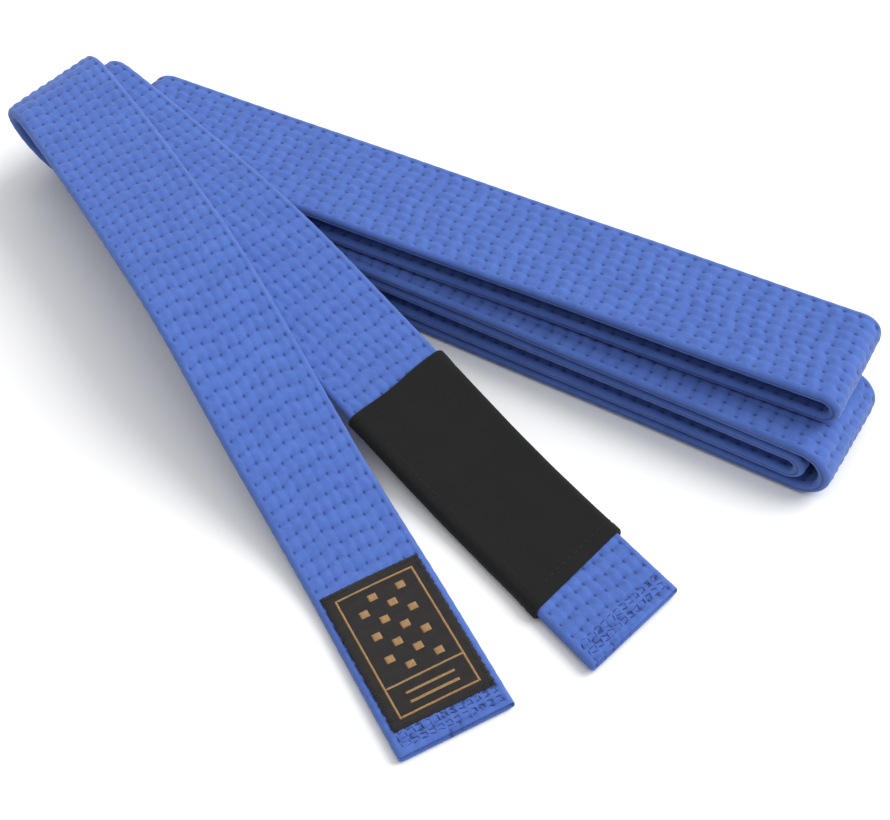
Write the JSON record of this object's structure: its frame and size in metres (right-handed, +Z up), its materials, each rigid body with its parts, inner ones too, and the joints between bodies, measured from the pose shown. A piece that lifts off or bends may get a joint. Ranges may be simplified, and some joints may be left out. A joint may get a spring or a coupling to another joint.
{
  "type": "martial arts belt",
  "caption": "Folded quilted cotton martial arts belt with a black rank sleeve and a woven label; both tails, the ends and the top fold lift on bend joints.",
  "frame": {"origin": "centre of the footprint's box on the floor, z = 0 at the underside of the lowest layer", "axes": "+Z up; +X along the folded bundle towards its right-hand folds; -Y towards the two free tails"},
  "size_m": [0.3368, 0.2006, 0.0473],
  "materials": {
    "blue_cover": "matte woven cotton",
    "core_cloth": "raw cotton ply",
    "blue_thread": "matte sewing thread",
    "label_weave": "black satin weave",
    "gold_weave": "gold-brown woven yarn",
    "black_cotton": "matte black cotton",
    "black_thread": "matte sewing thread"
  },
  "bodies": {
    "bundle": {"cover_loop_label": "blue_cover", "cover_run_2": "blue_cover", "cover_fold_2_3": "blue_cover", "cover_runs_3_4": "blue_cover", "cover_run_5": "blue_cover", "cover_fold_5_6": "blue_cover", "cover_runs_6_7": "blue_cover", "cover_loop_bar": "blue_cover", "core_face_label_loop_side": "core_cloth", "core_back_label_loop_side": "core_cloth", "core_face_bar_loop_side": "core_cloth", "core_back_bar_loop_side": "core_cloth", "quilting_bundle": "blue_thread"},
    "label_tail": {"cover_label_tail": "blue_cover", "cover_bend_label_lift": "blue_cover", "core_face_label_tail": "core_cloth", "core_back_label_tail": "core_cloth", "core_bend_label_lift": "core_cloth", "quilting_label_tail": "blue_thread"},
    "label_end": {"cover_label_end": "blue_cover", "cover_bend_label_curl": "blue_cover", "core_face_label_end": "core_cloth", "core_back_label_end": "core_cloth", "core_bend_label_curl": "core_cloth", "hem_tuck_label_end": "blue_cover", "hem_stitch_label_end": "blue_thread", "quilting_label_end": "blue_thread", "label_patch": "label_weave", "label_woven_frame": "gold_weave", "label_edge_stitch": "black_thread"},
    "bar_tail": {"cover_bar_tail": "blue_cover", "cover_bend_bar_lift": "blue_cover", "core_face_bar_tail": "core_cloth", "core_back_bar_tail": "core_cloth", "core_bend_bar_lift": "core_cloth", "rank_sleeve": "black_cotton", "sleeve_seam_thread": "black_thread", "sleeve_hem_thread_upper": "black_thread", "sleeve_hem_thread_lower": "black_thread"},
    "bar_stub": {"cover_bar_stub": "blue_cover", "cover_bend_stub_curl": "blue_cover", "core_face_bar_stub": "core_cloth", "core_back_bar_stub": "core_cloth", "core_bend_stub_curl": "core_cloth", "hem_tuck_bar_end": "blue_cover", "hem_stitch_bar_end": "blue_thread", "quilting_bar_stub": "blue_thread"},
    "top_fold": {"cover_top_fold": "blue_cover", "cover_bend_run_4": "blue_cover", "cover_bend_run_5": "blue_cover", "core_face_top_fold": "core_cloth", "core_back_top_fold": "core_cloth", "core_bend_run_4": "core_cloth", "core_bend_run_5": "core_cloth", "quilting_top_fold": "blue_thread"}
  },
  "joints": [
    {"name": "label_tail_lift", "type": "hinge", "parent": "bundle", "child": "label_tail", "pos_m": [-0.04562, 0.00143, 0.04293], "axis": [-0.274, -0.9617, -0.0011], "range_deg": [0, 60], "deforming": ["cover_bend_label_lift", "core_bend_label_lift"]},
    {"name": "label_end_curl", "type": "hinge", "parent": "label_tail", "child": "label_end", "pos_m": [0.03709, -0.04229, 0.00543], "axis": [-0.2649, -0.9643, -0.0045], "range_deg": [0, 60], "deforming": ["cover_bend_label_curl", "core_bend_label_curl"]},
    {"name": "bar_tail_lift", "type": "hinge", "parent": "bundle", "child": "bar_tail", "pos_m": [0.01922, 0.01381, 0.01796], "axis": [-0.2902, -0.9554, -0.0555], "range_deg": [0, 40], "deforming": ["cover_bend_bar_lift", "core_bend_bar_lift"]},
    {"name": "bar_stub_curl", "type": "hinge", "parent": "bar_tail", "child": "bar_stub", "pos_m": [0.11795, -0.01953, 0.00343], "axis": [-0.3507, -0.9365, -0.0031], "range_deg": [0, 60], "deforming": ["cover_bend_stub_curl", "core_bend_stub_curl"]},
    {"name": "top_fold_lift", "type": "hinge", "parent": "bundle", "child": "top_fold", "pos_m": [-0.00839, 0.07322, 0.03028], "axis": [0.0419, -0.9991, 0], "range_deg": [0, 30], "deforming": ["cover_bend_run_4", "cover_bend_run_5", "core_bend_run_4", "core_bend_run_5"]}
  ]
}
